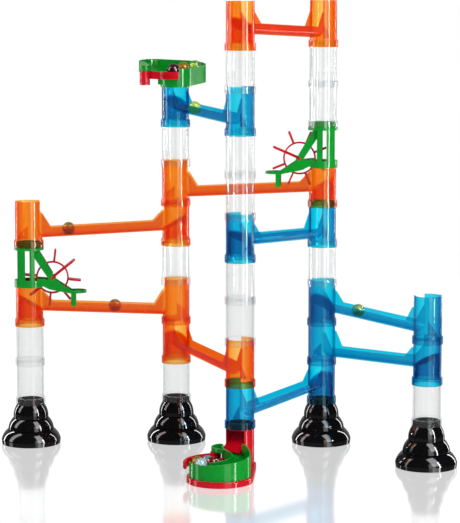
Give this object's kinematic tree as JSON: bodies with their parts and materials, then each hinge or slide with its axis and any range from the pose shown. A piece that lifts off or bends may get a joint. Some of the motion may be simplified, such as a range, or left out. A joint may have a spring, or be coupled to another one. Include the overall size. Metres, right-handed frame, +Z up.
{
  "type": "marble run",
  "caption": "Toy marble run: towers of stacked clear, orange and blue tubes on black feet, joined by sloping chutes, with two red paddle wheels, a start tray and a finish tray.",
  "frame": {"origin": "on the table, on the axis of the front tower, in the middle of the finish base's tube", "axes": "+Z up; +X from the back left tower to the back right tower; +Y away from the front tower, towards those two"},
  "size_m": [0.5728, 0.3295, 0.558],
  "materials": {
    "clear_plastic": "clear, polished",
    "orange_plastic": "transparent tint, polished",
    "blue_plastic": "transparent tint, polished",
    "green_plastic": "glossy",
    "red_plastic": "glossy",
    "black_plastic": "high gloss",
    "marble_amber": "polished glass",
    "marble_blue": "polished glass",
    "marble_clear": "polished glass",
    "marble_crimson": "polished glass",
    "marble_lime": "polished glass",
    "marble_orange": "polished glass",
    "marble_purple": "polished glass",
    "marble_ruby": "polished glass",
    "marble_teal": "polished glass",
    "marble_white": "polished glass"
  },
  "bodies": {
    "root": {"back_left_foot": "black_plastic", "back_left_tube_0": "clear_plastic", "back_left_tube_3": "clear_plastic", "back_left_tube_6": "clear_plastic", "back_right_foot": "black_plastic", "back_right_tube_3": "clear_plastic", "back_right_tube_7": "clear_plastic", "back_right_tube_8": "clear_plastic", "blue_chute_level_0": "blue_plastic", "blue_chute_level_4": "blue_plastic", "blue_chute_level_7": "blue_plastic", "front_tube_2": "clear_plastic", "front_tube_3": "clear_plastic", "front_tube_5": "clear_plastic", "front_tube_6": "clear_plastic", "front_tube_8": "clear_plastic", "orange_chute_level_1": "orange_plastic", "orange_chute_level_5": "orange_plastic", "orange_chute_level_9": "orange_plastic", "right_wheel_bracket": "green_plastic"},
    "left_arm": {"left_foot": "black_plastic", "left_tube_0": "clear_plastic", "left_tube_1": "clear_plastic", "orange_chute_level_2": "orange_plastic", "orange_chute_level_4": "orange_plastic", "left_wheel_bracket": "green_plastic"},
    "right_arm": {"right_foot": "black_plastic", "right_tube_0": "clear_plastic", "blue_chute_level_2": "blue_plastic", "blue_chute_level_1": "blue_plastic"},
    "left_wheel": {"left_wheel": "red_plastic"},
    "right_wheel": {"right_wheel": "red_plastic"},
    "start_tray": {"start_tray": "green_plastic", "start_marble_clear": "marble_clear", "start_marble_orange": "marble_orange", "start_marble_purple": "marble_purple"},
    "start_lever": {"start_lever": "red_plastic"},
    "finish_base": {"finish_base": "red_plastic", "finish_tray": "green_plastic", "finish_marble_crimson": "marble_crimson", "finish_marble_orange": "marble_orange", "finish_marble_ruby": "marble_ruby", "finish_marble_teal": "marble_teal", "finish_marble_white": "marble_white"},
    "finish_lever": {"finish_lever": "red_plastic"},
    "rolling_marble_amber": {"rolling_marble_amber": "marble_amber"},
    "rolling_marble_blue": {"rolling_marble_blue": "marble_blue"},
    "rolling_marble_lime": {"rolling_marble_lime": "marble_lime"},
    "rolling_marble_orange": {"rolling_marble_orange": "marble_orange"}
  },
  "joints": [
    {"name": "left_arm_swing", "type": "hinge", "parent": "root", "child": "left_arm", "pos_m": [-0.0925, 0.16021, 0.15], "axis": [0, 0, 1], "range_deg": [-60, 60]},
    {"name": "right_arm_swing", "type": "hinge", "parent": "root", "child": "right_arm", "pos_m": [0.0925, 0.16021, 0.1], "axis": [0, 0, 1], "range_deg": [-30, 60]},
    {"name": "left_wheel_spin", "type": "hinge", "parent": "left_arm", "child": "left_wheel", "pos_m": [-0.24613, 0.13313, 0.2114], "axis": [0.1736, -0.9848, 0], "continuous": true},
    {"name": "right_wheel_spin", "type": "hinge", "parent": "root", "child": "right_wheel", "pos_m": [0.0635, 0.16021, 0.3614], "axis": [0, 1, 0], "continuous": true},
    {"name": "start_tray_turn", "type": "hinge", "parent": "root", "child": "start_tray", "pos_m": [-0.0925, 0.16021, 0.45], "axis": [0, 0, 1], "continuous": true},
    {"name": "start_lever_swing", "type": "hinge", "parent": "start_tray", "child": "start_lever", "pos_m": [-0.13082, 0.15943, 0.462], "axis": [0, 0, 1], "range_deg": [-25, 0]},
    {"name": "finish_base_turn", "type": "hinge", "parent": "root", "child": "finish_base", "pos_m": [0, 0, 0.055], "axis": [0, 0, 1], "range_deg": [-60, 60]},
    {"name": "finish_lever_swing", "type": "hinge", "parent": "finish_base", "child": "finish_lever", "pos_m": [-0.02771, -0.02107, 0.018], "axis": [0, 0, 1], "range_deg": [-30, 0]},
    {"name": "rolling_marble_lime_roll", "type": "slide", "parent": "root", "child": "rolling_marble_lime", "axis": [0.4995, -0.8651, -0.0463], "range_m": [-0.03053, 0.11262]},
    {"name": "rolling_marble_orange_roll", "type": "slide", "parent": "left_arm", "child": "rolling_marble_orange", "axis": [-0.9838, -0.1735, -0.0463], "range_m": [-0.10812, 0.03504]},
    {"name": "rolling_marble_amber_roll", "type": "slide", "parent": "left_arm", "child": "rolling_marble_amber", "axis": [0.9838, 0.1735, -0.0463], "range_m": [-0.03153, 0.06257]},
    {"name": "rolling_marble_blue_roll", "type": "slide", "parent": "right_arm", "child": "rolling_marble_blue", "axis": [0.7063, -0.7063, -0.0463], "range_m": [-0.03854, 0.10461]}
  ]
}
